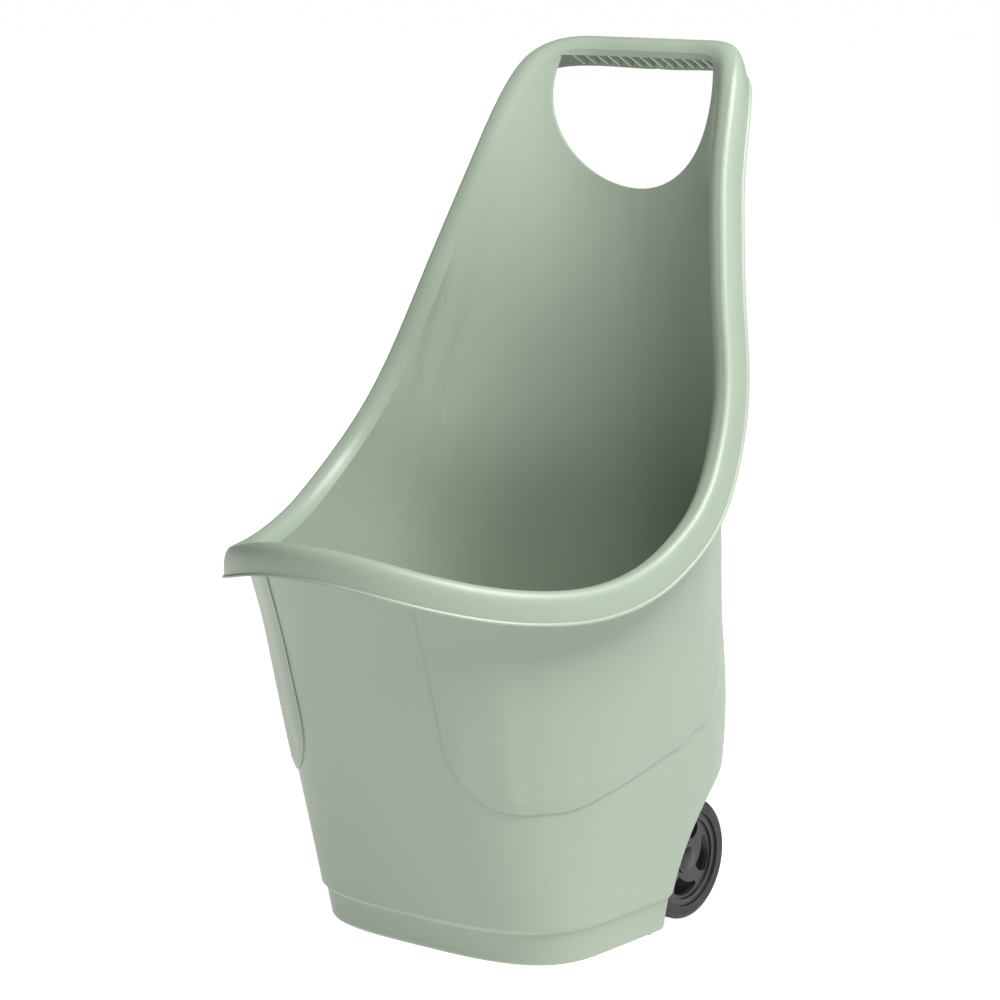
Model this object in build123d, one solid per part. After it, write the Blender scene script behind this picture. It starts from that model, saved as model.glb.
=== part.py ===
from build123d import *
import os
from bisect import bisect_right
from math import acos, cos, pi, radians, sin, sqrt

# Garden trolley: a one-piece moulded tub that rises into a high back with a hand hole and a
# ribbed grip, standing on its foot and on two wheels that share one steel axle.
# Millimetres. X runs across, the lip is at -Y, the grip at +Y, Z is up.

# Tub wall at a row of heights, each one a rise above the height before it.
# Each outline is widest at WIDEST_AT, and its corners are the squarer the larger the squareness.
LEVEL_RISES = (150, 150, 130, 90, 100, 110, 115)
HALF_WIDTHS = (155, 174, 194, 213, 204, 184, 149, 121)
FRONT_REACHES = (126, 176, 227, 272, 288, 320, 347, 380)
WIDEST_AT = (-24, 5, -15, -17, 20, 55, 91, 131)
FRONT_SQUARENESS = (3.2, 2.9, 2.3, 2.2, 2.3, 2.3, 2.2, 2.0)
BACK_SQUARENESS = (5.2, 5.1, 3.1, 2.1, 2.0, 1.8, 2.3, 3.9)
BACK_FOOT = 171.0
BACK_LEAN = 0.072
WALL = 3.0
FLOOR = 3.5
OUTLINE_POINTS = 16
WALL_POINTS = 8

# Foot of the tub
PLINTH_HEIGHT = 38.0
PLINTH_STEP = 3.5
PLINTH_SLOPE = 5.0
FOOT_EDGE = 4.0

# Rim line in the side view, from the lip over the low flanks up to the grip
RIM_PLACES = (-290, -232, -170, -100, -30, 40, 90, 125, 160, 195, 220, 240)
RIM_HEIGHTS = (418, 383, 366, 366, 390, 445, 523, 630, 727, 799, 831, 832)

# Rim section: it climbs from the crease inside to a crest, then rolls over into a skirt with a bead
RIM_OVERHANG = 24.0
RIM_CREST = 12.0
RIM_SHOULDER = 9.0
SHOULDER_DROP = 6.0
RIM_DROP = 18.0
RIM_SKIN = 2.8
RIM_ROOT = 4.5
RIM_BEAD = 1.5
BEAD_HEIGHT = 3.0
RIM_STATIONS = 28
MIDDLE_RUN = 20.0
ROUND = 0.5523

# Raised panels on both flanks, with sloped edges, from the front wall round to the back
PANEL_RAISE = 2.6
PANEL_STEP = 1.2
PANEL_TUCK = 1.5
PANEL_BAND = 12.0
PANEL_FRONT = 87.0
PANEL_REAR = 122.0
PANEL_SILL = 157.0
PANEL_CORNER = 68.0
PANEL_RISE_FROM = -95.0
PANEL_SLOPE = 0.24
PANEL_TOP_GAP = 9.0
PANEL_PITCH = 26.0
PANEL_POINTS = 7

# Hand hole and the ribs inside the grip
HOLE_RADIUS = 98.0
HOLE_TOP = 827.0
HOLE_CENTRE = 796.0
HOLE_DEPTH = 90.0
RIB_COUNT = 14
RIB_PITCH = 13.0
RIB_THICKNESS = 2.2
RIB_TUCK = 0.8

# Wheels and axle
TYRE_RADIUS = 60.0
TYRE_WIDTH = 34.0
TYRE_SHOULDER = 5.0
AXLE_Y = 113.5
AXLE_RADIUS = 4.0
SIDE_GAP = 2.0
LUG_COUNT = 60
NOTCH_WIDTH = 2.6
NOTCH_LENGTH = 11.0
NOTCH_DEPTH = 1.6

# Space behind the foot that holds the wheels
WELL_GAP = 6.5
WELL_RADIUS = 45.0
ROOF_LIP = 3.0
ARCH_CENTRE = 200.0
ARCH_REACH = 135.0
ARCH_HEIGHT = 165.0

# Brackets that carry the axle
BOSS_RADIUS = 13.0
BOSS_LENGTH = 22.0
BRACKET_THICKNESS = 6.0
BRACKET_FOOT = 26.0

# Wheel centre, measured inward from the tyre's outer face
WHEEL_RADIUS = 47.0
RING_THICKNESS = 6.5
RING_INSET = 2.0
WEB_INSET = 4.0
WEB_THICKNESS = 5.0
HUB_RADIUS = 15.0
HUB_INSET = 1.0
HUB_DEPTH = 38.0
RUNNING_FIT = 0.06
SLOT_COUNT = 4
SLOT_OUTER = 37.0
SLOT_INNER = 19.5
SLOT_TIP = 29.0
SLOT_ROUND = 8.0
SLOT_NOSE = 5.0
SLOT_START = -30.0
SLOT_END = 26.0

# Hub cap, push nut and washer along the axle
CAP_RADIUS = 11.0
CAP_GAP = 0.2
CAP_SEAT = 4.0
CAP_EDGE = 0.5
CAP_DOME = 1.5
SPIGOT_GAP = 0.1
SPIGOT_WALL = 1.6
SPIGOT_DEPTH = 2.5
NUT_ROOM_RADIUS = 9.0
NUT_ROOM_DEPTH = 12.4
NUT_SIDE_GAP = 1.0
NUT_THICKNESS = 1.2
COLLAR_RADIUS = 5.8
COLLAR_LENGTH = 2.4
AXLE_END = 0.6
AXIAL_PLAY = 0.5
WASHER_RADIUS = 9.0
WASHER_THICKNESS = 1.6
SLIP_FIT = 0.05

HEIGHTS = [0.0]
for rise in LEVEL_RISES:
    HEIGHTS.append(HEIGHTS[-1] + rise)
FAR = 2 * HEIGHTS[-1]

TYRE_FACE = HALF_WIDTHS[0] - PLINTH_STEP - WALL - SIDE_GAP
BOSS_FACE = TYRE_FACE - HUB_DEPTH - AXIAL_PLAY - WASHER_THICKNESS
WELL_FRONT = AXLE_Y - TYRE_RADIUS - WELL_GAP
WELL_ROOF = ARCH_HEIGHT + ROOF_LIP


def smooth(knots, values, place):
    """Value at a place on the smooth curve through all the knots; straight past both ends."""
    last = len(knots) - 1

    def slope(k):
        low, high = max(k - 1, 0), min(k + 1, last)
        return (values[high] - values[low]) / (knots[high] - knots[low])

    if place <= knots[0]:
        return values[0] + slope(0) * (place - knots[0])
    if place >= knots[last]:
        return values[last] + slope(last) * (place - knots[last])
    i = bisect_right(knots, place) - 1
    span = knots[i + 1] - knots[i]
    t = (place - knots[i]) / span
    eased = t * t * (3 - 2 * t)
    bend = span * (slope(i) * t * (1 - t) ** 2 - slope(i + 1) * t * t * (1 - t))
    return values[i] + (values[i + 1] - values[i]) * eased + bend


def front_wall(z):
    return -smooth(HEIGHTS, FRONT_REACHES, z)


def back_wall(z):
    return BACK_FOOT + BACK_LEAN * z


def wall_form(y, z):
    """Half width, widest place, reach and squareness of the wall outline before or behind y."""
    half = smooth(HEIGHTS, HALF_WIDTHS, z)
    middle = smooth(HEIGHTS, WIDEST_AT, z)
    if y > middle:
        return half, middle, back_wall(z) - middle, smooth(HEIGHTS, BACK_SQUARENESS, z)
    return half, middle, middle - front_wall(z), smooth(HEIGHTS, FRONT_SQUARENESS, z)


def wall_point(share, z, out):
    """Point on the right of the wall face moved outward, at a share of the way to the back."""
    y = front_wall(z) - out + share * (back_wall(z) - front_wall(z) + 2 * out)
    half, middle, reach, squareness = wall_form(y, z)
    off = abs(y - middle) / (reach + out)
    if off > 1 - 1e-12:
        return Vector(0, y, z)
    return Vector((half + out) * (1 - off ** squareness) ** (1 / squareness), y, z)


def mirrored(point):
    return Vector(-point.X, point.Y, point.Z)


def both_sides(right):
    return right + mirror(right, about=Plane.YZ)


def spread(turn):
    """Share of the way from front to back, close together near both ends."""
    return (1 - cos(turn)) / 2


def rim_height(y):
    """Height of the rim's inner edge in the side view."""
    inside = min(max(y, RIM_PLACES[0]), RIM_PLACES[-1])
    return smooth(RIM_PLACES, RIM_HEIGHTS, inside)


def meet(place, wall):
    """Where the rim line crosses a wall on the middle plane, starting from a place near it."""
    for _ in range(40):
        place = wall(rim_height(place))
    return place


LIP_Y = meet(RIM_PLACES[0], front_wall)
GRIP_Y = meet(RIM_PLACES[-1], back_wall)
GRIP_Z = rim_height(GRIP_Y)


def rim_place(turn):
    """Share of the way to the back and height of the rim line."""
    y = LIP_Y + (GRIP_Y - LIP_Y) * spread(turn)
    z = rim_height(y)
    return round((y - front_wall(z)) / (back_wall(z) - front_wall(z)), 9), z


def rim_edge(turn):
    """Point of the rim line on the outer wall face, on the right or past the ends on the left."""
    point = wall_point(*rim_place(turn), 0.0)
    return point if sin(turn) >= 0 else mirrored(point)


def rim_frame(turn):
    """Rim point, and the directions out and up across the rim's run."""
    small = radians(0.5)
    edge = rim_edge(turn)
    run = (rim_edge(turn + small) - rim_edge(turn - small)).normalized()
    half, middle, reach, squareness = wall_form(edge.Y, edge.Z)
    across = (edge.X / half) ** (squareness - 1) / half
    along = (abs(edge.Y - middle) / reach) ** (squareness - 1) / reach
    level = Vector(across, along if edge.Y > middle else -along, 0).normalized()
    climb = run.Z ** 2
    leaning = level * (1 - climb) + Vector(1, 0, 0) * climb
    out = (leaning - run * leaning.dot(run)).normalized()
    return edge, out, out.cross(run)


def roll_curves(start, edge, out, up, depth):
    """Two curves over the rim, from the crease or below it to the skirt, at a depth in its skin."""
    crest_place = RIM_OVERHANG - RIM_SHOULDER
    side_place = RIM_OVERHANG - depth
    reach = crest_place - (start - edge).dot(out)
    rise = RIM_CREST - depth - (start - edge).dot(up)
    crest = edge + out * crest_place + up * (RIM_CREST - depth)
    side = edge + out * side_place - up * SHOULDER_DROP
    slope = Bezier(start, start + out * reach / 4 + up * rise * 3 / 4, crest - out * reach / 2, crest)
    shoulder = Bezier(
        crest,
        crest + out * ROUND * (side_place - crest_place),
        side + up * ROUND * (RIM_CREST - depth + SHOULDER_DROP),
        side,
    )
    return slope, shoulder


def wall_line(turn, out, below_rim):
    """Points up the wall from the plinth to the rim."""
    foot = spread(turn)
    share, top = rim_place(turn)
    points = []
    for k in range(WALL_POINTS + 1):
        z = PLINTH_HEIGHT + (top - below_rim - PLINTH_HEIGHT) * k / WALL_POINTS
        points.append(wall_point(foot + (share - foot) * z / top, z, out))
    return points


def joined(points):
    return [Line(a, b) for a, b in zip(points, points[1:])]


def shell_section(turn):
    """Closed outline through plinth, wall and rim at one station around the tub."""
    edge, out, up = rim_frame(turn)

    def at(a, b):
        return edge + out * a + up * b

    def foot(z, inset):
        return wall_point(spread(turn), z, -PLINTH_STEP - inset)

    outer_line = wall_line(turn, 0.0, RIM_ROOT)
    inner_line = wall_line(turn, -WALL, 0.0)
    under_side = roll_curves(outer_line[-1], edge, out, up, RIM_SKIN)
    upper_side = roll_curves(inner_line[-1], edge, out, up, 0.0)
    under = RIM_OVERHANG - RIM_SKIN
    swollen = RIM_OVERHANG + RIM_BEAD
    swell = BEAD_HEIGHT - RIM_DROP
    slope = PLINTH_HEIGHT - PLINTH_SLOPE
    skirt = joined([
        at(under, -SHOULDER_DROP),
        at(under, -RIM_DROP),
        at(swollen, -RIM_DROP),
        at(swollen, swell - RIM_BEAD),
        at(RIM_OVERHANG, swell),
        at(RIM_OVERHANG, -SHOULDER_DROP),
    ])
    plinth = joined([
        inner_line[0],
        foot(slope, WALL),
        foot(0, FOOT_EDGE + WALL),
        foot(0, FOOT_EDGE),
        foot(0.3 * FOOT_EDGE, 0.3 * FOOT_EDGE),
        foot(FOOT_EDGE, 0.0),
        foot(slope, 0.0),
        outer_line[0],
    ])
    wall = Spline(*outer_line)
    lining = Spline(*reversed(inner_line))
    return Wire([wall, *under_side, *skirt, *upper_side, lining, *plinth])


def make_shell():
    """Wall, plinth and rim: the right half is lofted around the tub, then mirrored."""
    runs = [shell_section(pi * k / RIM_STATIONS) for k in range(RIM_STATIONS + 1)]
    past_middle = Pos(-MIDDLE_RUN, 0, 0)
    whole_run = Solid.make_loft([past_middle * runs[0], *runs, past_middle * runs[-1]])
    return both_sides(split(whole_run, bisect_by=Plane.YZ, keep=Keep.TOP))


def side_prism(outline):
    """Prism right across the tub from an outline in the side view."""
    return extrude(Plane.YZ * outline, amount=FAR, both=True)


def plan_prism(z, inset):
    """Upright prism from the floor on, inside the wall outline at a height."""
    right = [wall_point(spread(pi * k / OUTLINE_POINTS), z, -inset) for k in range(OUTLINE_POINTS + 1)]
    loop = right + [mirrored(p) for p in reversed(right[1:-1])]
    outline = Spline(*[(p.X, p.Y) for p in loop], periodic=True)
    return extrude(make_face(outline), amount=WELL_ROOF + 2 * WALL)


def well_outline(grow):
    """Side view of the space that holds the wheels, grown by a wall."""
    front = WELL_FRONT - grow
    roof = WELL_ROOF + grow
    box = Pos(front + FAR / 2, roof - FAR / 2) * Rectangle(FAR, FAR)
    corner = box.vertices().sort_by(lambda v: v.X - v.Y)[0]
    return fillet(corner, WELL_RADIUS + grow)


def panel_point(place, z, out):
    """Wall point at a place on the flank: 0 the panel's front edge, 1 the widest place, 2 its rear edge."""
    half, middle, reach, squareness = wall_form(-FAR, z)
    if place > 1:
        y = middle + (PANEL_REAR - middle) * (place - 1)
        half, middle, reach, squareness = wall_form(y, z)
        off = abs(y - middle) / (reach + out)
        return Vector((half + out) * (1 - off ** squareness) ** (1 / squareness), y, z)
    turn = (1 - place) * acos((PANEL_FRONT / (half + out)) ** (squareness / 2))
    across = (half + out) * cos(turn) ** (2 / squareness)
    return Vector(across, middle - (reach + out) * sin(turn) ** (2 / squareness), z)


def panel_stations():
    """Places along the flank with their distances from both ends: close together in the sloped ends."""
    fine = 200
    level = PANEL_SILL + PANEL_CORNER
    points = [panel_point(2 * k / fine, level, 0.0) for k in range(fine + 1)]
    runs = [0.0]
    for a, b in zip(points, points[1:]):
        runs.append(runs[-1] + (b - a).length)
    ends = [0.0, PANEL_BAND / 2, PANEL_BAND, 1.5 * PANEL_BAND]
    count = round((runs[-1] - 2 * ends[-1]) / PANEL_PITCH)
    step = (runs[-1] - 2 * ends[-1]) / count
    between = [ends[-1] + step * k for k in range(1, count)]
    stations = []
    for run in ends + between + [runs[-1] - end for end in reversed(ends)]:
        k = min(bisect_right(runs, run), fine) - 1
        place = 2 * (k + (run - runs[k]) / (runs[k + 1] - runs[k])) / fine
        stations.append((place, run, runs[-1] - run))
    return stations


def panel_section(place, from_front, from_rear):
    """Closed outline of the panel at one place: its sloped foot, its face and its back inside the wall."""
    from_end = min(from_front, from_rear)
    raised = PANEL_STEP + (PANEL_RAISE - PANEL_STEP) * min(from_end / PANEL_BAND, 1)
    turned = max(PANEL_CORNER - from_end, 0.0)
    low = PANEL_SILL + PANEL_CORNER - sqrt(PANEL_CORNER ** 2 - turned ** 2)
    low += PANEL_SLOPE * max(panel_point(place, low, 0.0).Y - PANEL_RISE_FROM, 0.0)
    top = low
    for _ in range(20):
        y = panel_point(place, top, 0.0).Y
        rise = rim_height(y + 1) - rim_height(y)
        top = rim_height(y) - PANEL_TOP_GAP * sqrt(1 + rise ** 2)

    def line(start, out):
        heights = [start + (top - start) * k / PANEL_POINTS for k in range(PANEL_POINTS + 1)]
        return [panel_point(place, z, out) for z in heights]

    face = line(low + PANEL_BAND, raised)
    back = line(low, -PANEL_TUCK)
    foot = joined([back[0], panel_point(place, low, PANEL_STEP), face[0]])
    head = Line(face[-1], back[-1])
    return Wire([*foot, Spline(*face), head, Spline(*reversed(back))])


def make_panel():
    runs = [panel_section(*station) for station in panel_stations()]
    before_front = Pos(-PANEL_BAND, 0, 0) * runs[0]
    behind_rear = Pos(0, PANEL_BAND, 0) * runs[-1]
    whole_run = Solid.make_loft([before_front, *runs, behind_rear])
    trimmed = split(whole_run, bisect_by=Plane.YZ.offset(PANEL_FRONT), keep=Keep.TOP)
    return split(trimmed, bisect_by=Plane.XZ.offset(-PANEL_REAR), keep=Keep.TOP)


def make_floor():
    """Floor of the tub, from the front wall to the step over the wheels."""
    plate = plan_prism(0.0, PLINTH_STEP + FOOT_EDGE + WALL / 2) & Pos(0, 0, FLOOR / 2) * Box(FAR, FAR, FLOOR)
    return plate - side_prism(well_outline(WALL / 2))


def make_step():
    """Wall and shelf that step over the wheels, reaching halfway into the tub's wall."""
    halfway = (PLINTH_HEIGHT + WELL_ROOF) / 2
    levels = [0.0, PLINTH_HEIGHT - PLINTH_SLOPE, PLINTH_HEIGHT, halfway, WELL_ROOF + WALL]
    right = []
    for z in levels:
        share = (WELL_FRONT - front_wall(z)) / (back_wall(z) - front_wall(z))
        inset = PLINTH_STEP if z < PLINTH_HEIGHT else 0.0
        right.append((wall_point(share, z, 0.0).X - inset - WALL / 2, z))
    left = [(-x, z) for x, z in reversed(right)]
    across = extrude(Plane.XZ * make_face(Polyline(*right, *left, close=True)), amount=FAR, both=True)
    bend = side_prism(well_outline(WALL) - well_outline(0.0))
    return bend & across & plan_prism(WELL_ROOF + WALL / 2, WALL / 2)


def hand_hole():
    """Round hole in the back, cut flat under the grip."""
    rise = HOLE_TOP - HOLE_CENTRE
    half = (HOLE_RADIUS ** 2 - rise ** 2) ** 0.5
    low = (0, HOLE_CENTRE - HOLE_RADIUS)
    right = ThreePointArc((half, HOLE_TOP), (HOLE_RADIUS, HOLE_CENTRE), low)
    left = ThreePointArc(low, (-HOLE_RADIUS, HOLE_CENTRE), (-half, HOLE_TOP))
    outline = make_face(right.edges() + left.edges() + Line((-half, HOLE_TOP), (half, HOLE_TOP)).edges())
    plane = Plane((0, GRIP_Y + RIM_OVERHANG / 3, 0), x_dir=(1, 0, 0), z_dir=(0, -1, 0))
    return extrude(plane * outline, amount=HOLE_DEPTH)


def grip_rib(x):
    """Thin rib across the hollow grip, with a free edge that slopes down to the skirt."""
    half, middle, reach, squareness = wall_form(GRIP_Y, GRIP_Z)
    wall_y = middle + reach * (1 - (abs(x) / half) ** squareness) ** (1 / squareness)
    edge = Vector(wall_y, GRIP_Z)
    start = edge + Vector(-WALL / 2, -RIM_ROOT / 2)
    roof = roll_curves(start, edge, Vector(1, 0), Vector(0, 1), RIM_SKIN / 2)
    end = wall_y + RIM_OVERHANG - RIM_SKIN / 2
    free = Polyline(
        (end, GRIP_Z - SHOULDER_DROP),
        (end, GRIP_Z - RIM_DROP + RIB_TUCK),
        (start.X, HOLE_TOP + RIB_TUCK),
        start,
    )
    plate = make_face([curve.edge() for curve in roof] + free.edges())
    return Pos(x, 0, 0) * extrude(Plane.YZ * plate, amount=RIB_THICKNESS / 2, both=True)


def along_axle(radius, start, end):
    """Round bar on the axle line between two places across the trolley."""
    bar = Rot(0, 90, 0) * Cylinder(radius, end - start)
    return Pos((start + end) / 2, AXLE_Y, TYRE_RADIUS) * bar


def bracket(side):
    """Bracket that carries the axle under the step of the tub."""
    hidden = WALL / 2
    back = AXLE_Y + BOSS_RADIUS
    plate = Polygon(
        (WELL_FRONT - hidden, BRACKET_FOOT),
        (AXLE_Y, TYRE_RADIUS - BOSS_RADIUS),
        (back, TYRE_RADIUS),
        (back, WELL_ROOF + hidden),
        (WELL_FRONT - hidden, WELL_ROOF + hidden),
        align=None,
    )
    middle = side * (BOSS_FACE - BOSS_LENGTH / 2)
    side_view = Plane.YZ * (plate & well_outline(hidden))
    fin = Pos(middle, 0, 0) * extrude(side_view, amount=BRACKET_THICKNESS / 2, both=True)
    return fin + along_axle(BOSS_RADIUS, middle - BOSS_LENGTH / 2, middle + BOSS_LENGTH / 2)


def make_tub():
    ribs = [grip_rib((k - (RIB_COUNT - 1) / 2) * RIB_PITCH) for k in range(RIB_COUNT)]
    arch = Pos(ARCH_CENTRE, 0) * Ellipse(ARCH_REACH, ARCH_HEIGHT)
    bore = along_axle(AXLE_RADIUS + SLIP_FIT, -TYRE_FACE, TYRE_FACE)
    panel = make_panel()
    panels = [panel, mirror(panel, about=Plane.YZ)]
    walls = make_shell() - [side_prism(arch), hand_hole()]
    return walls + [*panels, make_floor(), make_step(), bracket(1), bracket(-1), *ribs] - bore


def ring(start, end, inner, outer):
    """Ring about the wheel's own axis, between two places measured from the tyre's outer face."""
    outline = Pos((start + end) / 2, (inner + outer) / 2) * Rectangle(end - start, outer - inner)
    return revolve(outline, Axis.X)


def make_tyre():
    outline = Pos(-TYRE_WIDTH / 2, (WHEEL_RADIUS + TYRE_RADIUS) / 2) * Rectangle(
        TYRE_WIDTH, TYRE_RADIUS - WHEEL_RADIUS
    )
    outer_corners = outline.vertices().group_by(Axis.Y)[-1]
    tyre = revolve(fillet(outer_corners, TYRE_SHOULDER), Axis.X)
    notch = Box(NOTCH_LENGTH, NOTCH_WIDTH, 2 * NOTCH_DEPTH)
    notches = []
    for k in range(LUG_COUNT):
        for shift, middle in ((0.0, -NOTCH_LENGTH / 2), (0.5, NOTCH_LENGTH / 2 - TYRE_WIDTH)):
            turn = Rot((k + shift) * 360 / LUG_COUNT, 0, 0)
            notches.append(turn * Pos(middle, 0, TYRE_RADIUS) * notch)
    return tyre - notches


def polar(radius, angle):
    return (radius * cos(radians(angle)), radius * sin(radians(angle)))


def wheel_slot(angle):
    """Comma-shaped slot through the web: wide at its start, narrow at its tip."""
    middle = (SLOT_START + SLOT_END) / 2
    waist = (SLOT_INNER + SLOT_TIP) / 2 - 1
    head = (SLOT_INNER + SLOT_OUTER) / 2
    nose = (SLOT_TIP + SLOT_OUTER) / 2 - 1
    outer_arc = ThreePointArc(
        polar(SLOT_OUTER, angle + SLOT_START), polar(SLOT_OUTER, angle + middle),
        polar(SLOT_OUTER - 2, angle + SLOT_END)
    )
    tip = polar(SLOT_TIP, angle + SLOT_END)
    root = polar(SLOT_INNER, angle + SLOT_START)
    tip_arc = ThreePointArc(outer_arc @ 1, polar(nose, angle + SLOT_END + SLOT_NOSE), tip)
    inner_arc = ThreePointArc(tip, polar(waist, angle + middle), root)
    head_arc = ThreePointArc(root, polar(head, angle + SLOT_START - SLOT_ROUND), outer_arc @ 0)
    outline = make_face(outer_arc.edges() + tip_arc.edges() + inner_arc.edges() + head_arc.edges())
    return extrude(Plane.YZ * outline, amount=-HUB_DEPTH)


def make_wheel_rim():
    ring_inner = WHEEL_RADIUS - RING_THICKNESS
    hub_bore = AXLE_RADIUS + RUNNING_FIT
    web = ring(-WEB_INSET - WEB_THICKNESS, -WEB_INSET, HUB_RADIUS - 1, ring_inner + 1)
    for k in range(SLOT_COUNT):
        web = web - wheel_slot(k * 360 / SLOT_COUNT)
    hub = ring(-HUB_DEPTH, -HUB_INSET, hub_bore, HUB_RADIUS)
    felloe = ring(RING_INSET - TYRE_WIDTH, -RING_INSET, ring_inner, WHEEL_RADIUS)
    nut_room = ring(-NUT_ROOM_DEPTH, 0, 0, NUT_ROOM_RADIUS)
    cap_seat = ring(-CAP_SEAT, 0, 0, CAP_RADIUS + CAP_GAP)
    return hub + web + felloe - nut_room - cap_seat


def make_hub_cap():
    edge = (-CAP_EDGE, CAP_RADIUS)
    opposite = (-CAP_EDGE, -CAP_RADIUS)
    dome = ThreePointArc(edge, (CAP_DOME, 0), opposite)
    sides = Polyline(opposite, (-CAP_SEAT, -CAP_RADIUS), (-CAP_SEAT, CAP_RADIUS), edge)
    upper_half = Pos(0, CAP_RADIUS) * Rectangle(4 * CAP_RADIUS, 2 * CAP_RADIUS)
    disc = make_face(dome.edges() + sides.edges()) & upper_half
    spigot = NUT_ROOM_RADIUS - SPIGOT_GAP
    return revolve(disc, Axis.X) + ring(-CAP_SEAT - SPIGOT_DEPTH, -CAP_SEAT, spigot - SPIGOT_WALL, spigot)


NUT_BACK = AXIAL_PLAY - NUT_ROOM_DEPTH


def make_push_nut():
    bore = AXLE_RADIUS + SLIP_FIT
    flange = ring(NUT_BACK, NUT_BACK + NUT_THICKNESS, bore, NUT_ROOM_RADIUS - NUT_SIDE_GAP)
    return flange + ring(NUT_BACK, NUT_BACK + COLLAR_LENGTH, bore, COLLAR_RADIUS)


def make_washer():
    inner_end = -HUB_DEPTH - AXIAL_PLAY - WASHER_THICKNESS
    return ring(inner_end, inner_end + WASHER_THICKNESS, AXLE_RADIUS + SLIP_FIT, WASHER_RADIUS)


def make_axle():
    end = TYRE_FACE + NUT_BACK + COLLAR_LENGTH + AXLE_END
    rod = along_axle(AXLE_RADIUS, -end, end)
    return chamfer(rod.edges().filter_by(GeomType.CIRCLE), AXLE_END)


os.makedirs("parts", exist_ok=True)
tub = make_tub()
to_middle = Pos(0, -tub.bounding_box().center().Y, 0)


def save(shape, name):
    export_step(to_middle * shape, f"parts/{name}.step")


save(tub, "tub")
save(make_axle(), "axle")
wheel_pieces = {
    "wheel_rim": make_wheel_rim(),
    "tyre": make_tyre(),
    "hub_cap": make_hub_cap(),
    "push_nut": make_push_nut(),
    "washer": make_washer(),
}
right_hub = Pos(TYRE_FACE, AXLE_Y, TYRE_RADIUS)
left_hub = Pos(-TYRE_FACE, AXLE_Y, TYRE_RADIUS) * Rot(0, 0, 180)
for name, piece in wheel_pieces.items():
    save(right_hub * piece, f"{name}_right")
    save(left_hub * piece, f"{name}_left")
print(f"axle line at y {AXLE_Y + to_middle.position.Y:.4f}, z {TYRE_RADIUS:.4f}")
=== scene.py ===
import bpy
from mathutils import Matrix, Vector

# Garden trolley: a sage green moulded tub on two black wheels, on a glowing studio floor.
# Metres. X runs across, the pouring lip is at -Y, the grip at +Y, Z is up.

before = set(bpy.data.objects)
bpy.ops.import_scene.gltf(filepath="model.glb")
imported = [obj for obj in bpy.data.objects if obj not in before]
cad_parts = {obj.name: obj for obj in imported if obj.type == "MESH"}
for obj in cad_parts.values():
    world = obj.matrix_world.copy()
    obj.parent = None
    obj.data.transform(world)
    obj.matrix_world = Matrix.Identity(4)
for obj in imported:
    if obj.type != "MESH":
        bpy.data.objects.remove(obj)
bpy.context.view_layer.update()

MM = 0.001

# Colours, as sRGB hex values
SAGE = "95A391"
SAGE_PALE = "99A795"
SAGE_SCUFF = "A5B2A1"
SAGE_FLECK = "5D6A57"
WHEEL_BLACK = "1E1F20"
WHEEL_GREY = "2A2B2C"
TYRE_BLACK = "18191A"
TYRE_DUST = "343433"
ZINC = "B4B8BB"
ZINC_DULL = "8F9498"
OPAL_WHITE = "FFFFFF"
OPAL_BODY = "A4A4A3"

# Sizes of the patterns in the materials
FLOW_SIZE = 140 * MM
RUB_WIDTH = 5 * MM
RUB_LENGTH = 90 * MM
FLECK_PITCH = 45 * MM
TUB_GRAIN = 1.8 * MM
WHEEL_CLOUD = 9 * MM
WHEEL_GRAIN = 0.9 * MM
TREAD_GRAIN = 1.4 * MM
TREAD_DUST = 14 * MM
DRAW_LENGTH = 40 * MM
DRAW_WIDTH = 0.6 * MM
ZINC_PATCH = 6 * MM
SHEET_GRAIN = 4 * MM
PLASTIC_IOR = 1.49

# Studio
FLOOR_SIDE = 160.0
FLOOR_GLOW = 0.96
WORLD_STRENGTH = 0.08
KEY_PLACE = (1.8, -0.3, 3.25)
KEY_TARGET = (0, 0, 0.45)
KEY_SIDE = 2.0
KEY_WATTS = 190

# Camera at the photograph's angle
CAMERA_PLACE = (2.0418, -2.5469, 1.0103)
CAMERA_TARGET = (0.0, 0.0146, 0.42)
CAMERA_LENS = 125.1
CAMERA_SENSOR = 36.0
CAMERA_SHIFT = (0.0009, -0.005)
CAMERA_CLIP = 300.0


def linear(hex_colour):
    """sRGB hex value as linear red, green, blue and alpha."""
    parts = [int(hex_colour[i:i + 2], 16) / 255 for i in (0, 2, 4)]
    return [c / 12.92 if c <= 0.04045 else ((c + 0.055) / 1.055) ** 2.4 for c in parts] + [1.0]


def add_node(tree, kind, inputs=None, **settings):
    """Adds a node with its settings; each input is a plain value or the socket that feeds it."""
    made = tree.nodes.new(kind)
    for name, value in settings.items():
        setattr(made, name, value)
    for socket, value in (inputs or {}).items():
        if isinstance(value, bpy.types.NodeSocket):
            tree.links.new(value, made.inputs[socket])
        else:
            made.inputs[socket].default_value = value
    return made


def start_material(name):
    """New material with its Object coordinates."""
    material = bpy.data.materials.new(name)
    material.use_nodes = True
    tree = material.node_tree
    tree.nodes.clear()
    place = add_node(tree, "ShaderNodeTexCoord").outputs["Object"]
    return material, tree, place


def finish_material(tree, inputs):
    """Principled surface with its inputs, joined to the output."""
    surface = add_node(tree, "ShaderNodeBsdfPrincipled", inputs)
    add_node(tree, "ShaderNodeOutputMaterial", {"Surface": surface.outputs["BSDF"]})


def noise(tree, place, size, detail):
    """Cloudy pattern between 0 and 1, with patches of about a size."""
    made = add_node(tree, "ShaderNodeTexNoise", {"Vector": place, "Scale": 1 / size, "Detail": detail})
    return made.outputs["Fac"]


def streaks(tree, place, sizes, detail):
    """Cloudy pattern stretched to its own size along each axis."""
    scale = [1 / size for size in sizes]
    stretched = add_node(tree, "ShaderNodeMapping", {"Vector": place, "Scale": scale}).outputs["Vector"]
    return noise(tree, stretched, 1.0, detail)


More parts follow.
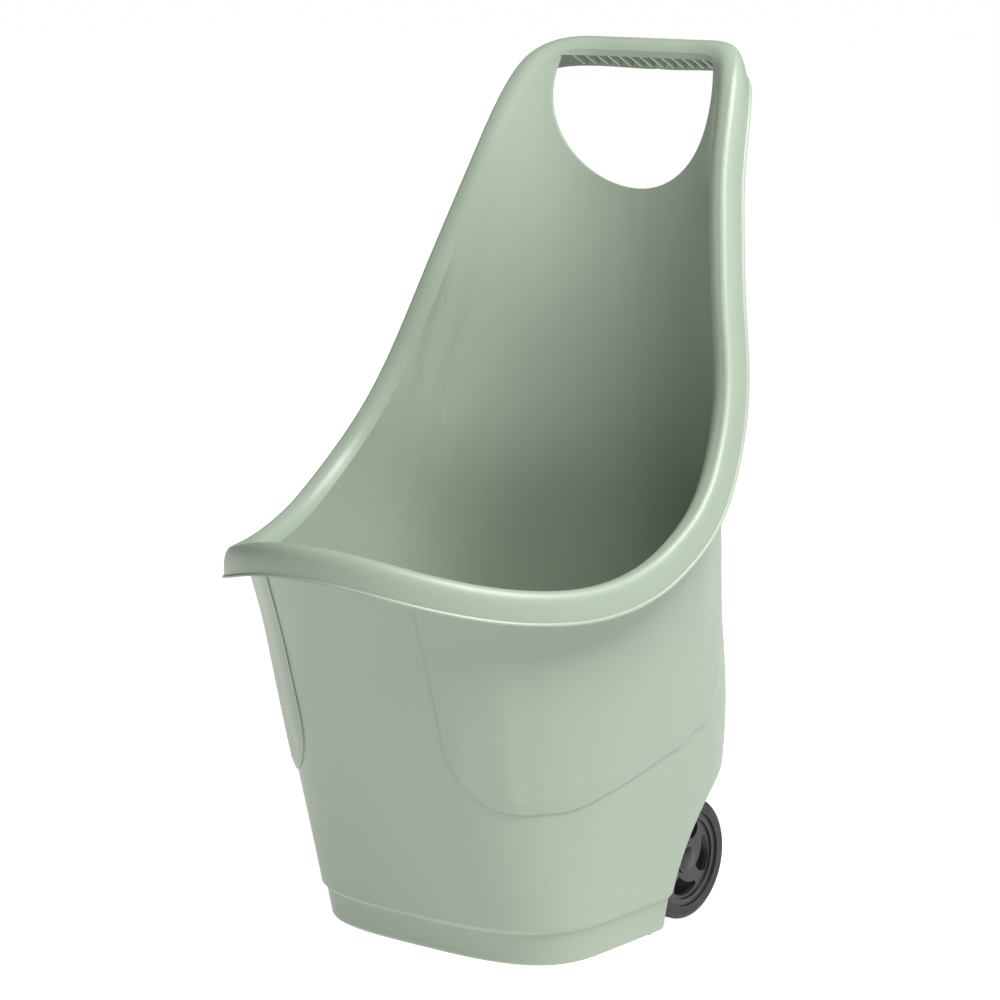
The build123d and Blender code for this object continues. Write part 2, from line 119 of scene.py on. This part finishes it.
def ramp(tree, value, low, high, start=0.0, end=1.0):
    """Value from low to high while the pattern goes from start to end."""
    made = add_node(tree, "ShaderNodeMapRange", {
        "Value": value, "From Min": start, "From Max": end, "To Min": low, "To Max": high})
    return made.outputs["Result"]


def blend(tree, share, first, second):
    """Colour between two colours."""
    made = add_node(tree, "ShaderNodeMix", {"Factor": share, "A": first, "B": second}, data_type="RGBA")
    return made.outputs["Result"]


def relief(tree, height, strength, depth):
    """Surface direction roughened by a pattern."""
    made = add_node(tree, "ShaderNodeBump", {"Height": height, "Strength": strength, "Distance": depth})
    return made.outputs["Normal"]


def sage_polypropylene():
    """Injection-moulded polypropylene: satin, one colour right through, with a soft flow of
    slightly paler melt, a few dark flecks of pigment and fine pale rubs down the walls."""
    material, tree, place = start_material("sage_polypropylene")
    flow = noise(tree, place, FLOW_SIZE, 2.0)
    colour = blend(tree, flow, linear(SAGE), linear(SAGE_PALE))
    rub_noise = streaks(tree, place, (RUB_WIDTH, RUB_WIDTH, RUB_LENGTH), 3.0)
    rubs = ramp(tree, rub_noise, 0.0, 0.35, 0.68, 0.84)
    rubbed = blend(tree, rubs, colour, linear(SAGE_SCUFF))
    flecks = add_node(tree, "ShaderNodeTexVoronoi", {"Vector": place, "Scale": 1 / FLECK_PITCH})
    specks = ramp(tree, flecks.outputs["Distance"], 0.7, 0.0, 0.012, 0.02)
    finish_material(tree, {
        "Base Color": blend(tree, specks, rubbed, linear(SAGE_FLECK)),
        "Roughness": ramp(tree, flow, 0.34, 0.44),
        "IOR": PLASTIC_IOR,
        "Normal": relief(tree, noise(tree, place, TUB_GRAIN, 1.0), 0.06, 0.2 * MM),
    })
    return material


def black_polypropylene():
    """Moulded black polypropylene of the wheels and caps: satin, faintly uneven in its shine."""
    material, tree, place = start_material("black_polypropylene")
    cloud = noise(tree, place, WHEEL_CLOUD, 3.0)
    finish_material(tree, {
        "Base Color": blend(tree, cloud, linear(WHEEL_BLACK), linear(WHEEL_GREY)),
        "Roughness": ramp(tree, cloud, 0.3, 0.46),
        "IOR": PLASTIC_IOR,
        "Normal": relief(tree, noise(tree, place, WHEEL_GRAIN, 2.0), 0.08, 0.15 * MM),
    })
    return material


def hard_black_tread():
    """Blow-moulded black polyethylene of the tyres: duller than the wheels, with a fine grain
    and a little grey dust in it."""
    material, tree, place = start_material("hard_black_tread")
    grain = noise(tree, place, TREAD_GRAIN, 4.0)
    dust = ramp(tree, noise(tree, place, TREAD_DUST, 5.0), 0.0, 0.6, 0.45, 0.8)
    finish_material(tree, {
        "Base Color": blend(tree, dust, linear(TYRE_BLACK), linear(TYRE_DUST)),
        "Roughness": ramp(tree, grain, 0.44, 0.62),
        "IOR": PLASTIC_IOR,
        "Normal": relief(tree, grain, 0.15, 0.2 * MM),
    })
    return material


def zinc_plated_steel():
    """Drawn steel with bright zinc plating: grey metal with faint dull patches and fine draw lines."""
    material, tree, place = start_material("zinc_plated_steel")
    lines = streaks(tree, place, (DRAW_LENGTH, DRAW_WIDTH, DRAW_WIDTH), 2.0)
    patches = noise(tree, place, ZINC_PATCH, 3.0)
    finish_material(tree, {
        "Base Color": blend(tree, patches, linear(ZINC), linear(ZINC_DULL)),
        "Metallic": 1.0,
        "Roughness": ramp(tree, lines, 0.25, 0.45),
        "Normal": relief(tree, lines, 0.1, 0.1 * MM),
    })
    return material


def opal_acrylic_sheet():
    """Opal acrylic sheet of a light table: a matt sheet that glows evenly from below."""
    material, tree, place = start_material("opal_acrylic_sheet")
    finish_material(tree, {
        "Base Color": linear(OPAL_BODY),
        "Roughness": 0.9,
        "Emission Color": linear(OPAL_WHITE),
        "Emission Strength": FLOOR_GLOW,
        "Normal": relief(tree, noise(tree, place, SHEET_GRAIN, 2.0), 0.02, 0.1 * MM),
    })
    return material


finishes = {
    "tub": sage_polypropylene(),
    "axle": zinc_plated_steel(),
    "wheel_rim": black_polypropylene(),
    "tyre": hard_black_tread(),
}
finish_of = {
    "tub": "tub", "axle": "axle", "washer": "axle", "push_nut": "axle",
    "wheel_rim": "wheel_rim", "hub_cap": "wheel_rim", "tyre": "tyre",
}
for name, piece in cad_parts.items():
    kind = name.replace("_left", "").replace("_right", "")
    piece.data.materials.clear()
    piece.data.materials.append(finishes[finish_of[kind]])

# Studio floor
bpy.ops.object.select_all(action="DESELECT")
bpy.ops.mesh.primitive_plane_add(size=FLOOR_SIDE, location=(0, 0, 0))
floor = bpy.context.object
floor.name = "studio_floor"
floor.data.materials.append(opal_acrylic_sheet())


def aim(piece, target):
    """Turns a light or camera towards a place."""
    piece.rotation_euler = (Vector(target) - piece.location).to_track_quat("-Z", "Y").to_euler()


# One large softbox, high on the right
bpy.ops.object.light_add(type="AREA", location=KEY_PLACE)
key = bpy.context.object
key.name = "key_softbox"
key.data.shape = "SQUARE"
key.data.size = KEY_SIDE
key.data.energy = KEY_WATTS
aim(key, KEY_TARGET)

world = bpy.data.worlds.new("studio_white")
world.use_nodes = True
background = world.node_tree.nodes["Background"].inputs
background["Color"].default_value = (1, 1, 1, 1)
background["Strength"].default_value = WORLD_STRENGTH
bpy.context.scene.world = world
bpy.context.scene.view_settings.view_transform = "Standard"

bpy.ops.object.camera_add(location=CAMERA_PLACE)
camera = bpy.context.object
camera.name = "photo_camera"
aim(camera, CAMERA_TARGET)
camera.data.sensor_width = CAMERA_SENSOR
camera.data.lens = CAMERA_LENS
camera.data.shift_x, camera.data.shift_y = CAMERA_SHIFT
camera.data.clip_end = CAMERA_CLIP
bpy.context.scene.camera = camera
